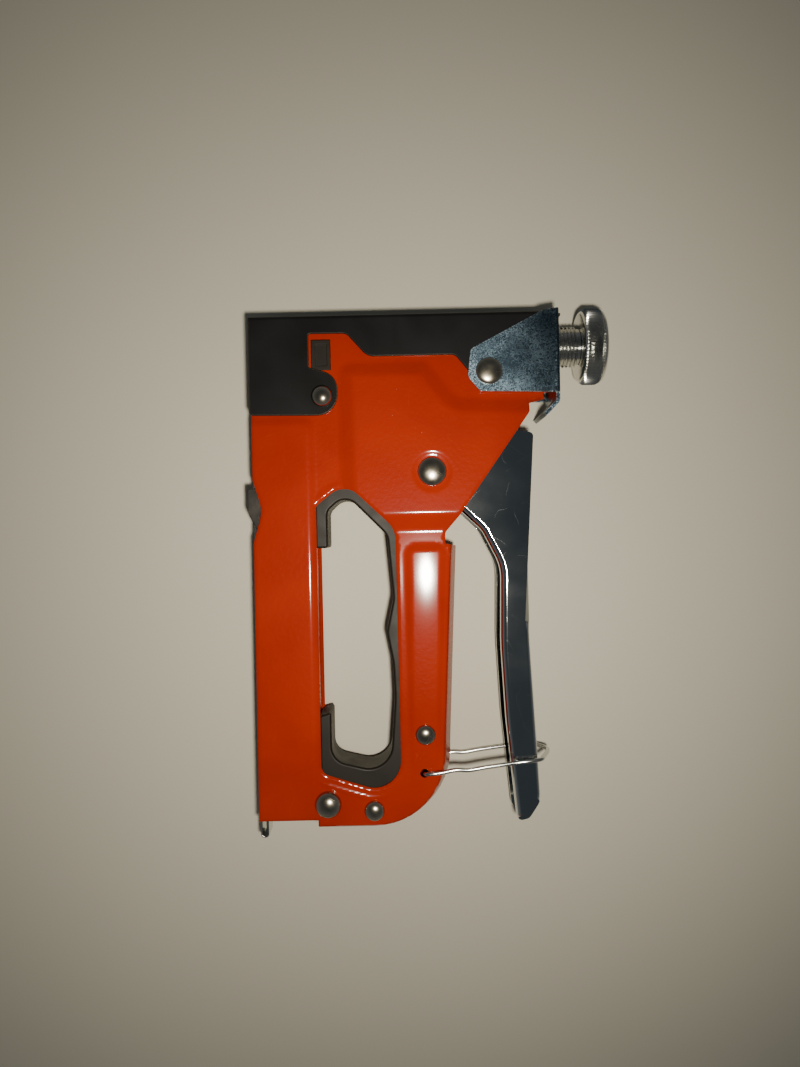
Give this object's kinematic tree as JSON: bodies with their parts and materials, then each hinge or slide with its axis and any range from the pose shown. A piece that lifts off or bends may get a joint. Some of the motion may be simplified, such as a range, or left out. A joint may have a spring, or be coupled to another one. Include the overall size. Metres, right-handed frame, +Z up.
{
  "type": "staple gun",
  "caption": "Hand staple gun lying on its side: pressed orange shells, black nose cap, chromed lever held by a wire latch, and a knurled adjuster knob.",
  "frame": {"origin": "on the surface that the gun lies on, under the middle of its box", "axes": "+Z up out of the gun's upper side face, +Y towards the nose, +X from the working face towards the knob"},
  "size_m": [0.1226, 0.18, 0.026],
  "materials": {
    "orange_paint": "gloss",
    "black_paint": "satin",
    "galvanised": "satin",
    "bright_zinc": "bright",
    "chrome": "polished",
    "nickel": "polished",
    "spring_steel": "satin",
    "dark_steel": "satin",
    "black_rubber": "matte"
  },
  "bodies": {
    "frame": {"left_shell": "orange_paint", "right_shell": "orange_paint", "nose_cap": "black_paint", "top_bracket": "galvanised", "adjuster_nut": "bright_zinc", "driver_guide": "bright_zinc", "bumper": "black_rubber", "pivot_rivet": "nickel", "bracket_rivet": "nickel", "cap_rivet": "nickel", "handle_rivet": "nickel", "rear_small_rivet": "nickel", "rear_large_rivet": "nickel", "handle_spacer": "bright_zinc", "rear_small_spacer": "bright_zinc", "rear_large_spacer": "bright_zinc", "pivot_bush": "bright_zinc", "lever_return_spring": "spring_steel", "grip_liner": "black_rubber", "magazine_channel": "bright_zinc", "catch_pin": "dark_steel"},
    "driver": {"driver_carrier": "dark_steel", "driver_blade": "spring_steel"},
    "lever": {"lever": "chrome", "lift_pin": "spring_steel"},
    "seat": {"spring_seat": "bright_zinc", "power_spring": "spring_steel"},
    "adjuster": {"adjuster_screw": "bright_zinc", "adjuster_knob": "bright_zinc"},
    "latch": {"wire_latch": "bright_zinc"},
    "rail": {"staple_rail": "bright_zinc", "rail_pull_tab": "bright_zinc", "follower_rod": "spring_steel", "follower_spring": "spring_steel"},
    "follower": {"follower": "bright_zinc"},
    "catch": {"magazine_catch": "dark_steel"}
  },
  "joints": [
    {"name": "lever_pivot", "type": "hinge", "parent": "frame", "child": "lever", "pos_m": [0.0012, 0.03405, 0.013], "axis": [0, 0, -1], "range_deg": [0, 11.5], "stiffness_Nm_per_rad": 1, "springref_deg": -5.73, "deforming": ["lever_return_spring"]},
    {"name": "driver_lift", "type": "slide", "parent": "frame", "child": "driver", "axis": [1, 0, 0], "range_m": [0, 0.0056], "deforming": ["power_spring"]},
    {"name": "spring_feed", "type": "slide", "parent": "frame", "child": "seat", "axis": [-1, 0, 0], "range_m": [-0.0012, 0.0048], "deforming": ["power_spring"]},
    {"name": "adjuster_turn", "type": "hinge", "parent": "seat", "child": "adjuster", "pos_m": [0.0503, 0.07695, 0.013], "axis": [-1, 0, 0], "range_deg": [-361, 1441]},
    {"name": "latch_swing", "type": "hinge", "parent": "frame", "child": "latch", "pos_m": [-0.0035, -0.06745, 0.013], "axis": [0, 0, -1], "range_deg": [0, 110]},
    {"name": "magazine_slide", "type": "slide", "parent": "frame", "child": "rail", "axis": [0, -1, 0], "range_m": [0, 0.16]},
    {"name": "follower_slide", "type": "slide", "parent": "rail", "child": "follower", "axis": [0, -1, 0], "range_m": [0, 0.12], "stiffness_N_per_m": 15, "springref_m": -0.03, "deforming": ["follower_spring"]},
    {"name": "catch_press", "type": "hinge", "parent": "frame", "child": "catch", "pos_m": [-0.0537, 0.01855, 0.013], "axis": [0, 0, -1], "range_deg": [0, 8], "stiffness_Nm_per_rad": 0.2, "springref_deg": -5.73}
  ],
  "couplings": [
    {"joint": "driver_lift", "follows": "lever_pivot", "m_per_rad": 0.0277},
    {"joint": "adjuster_turn", "follows": "spring_feed", "rad_per_m": 5236}
  ]
}
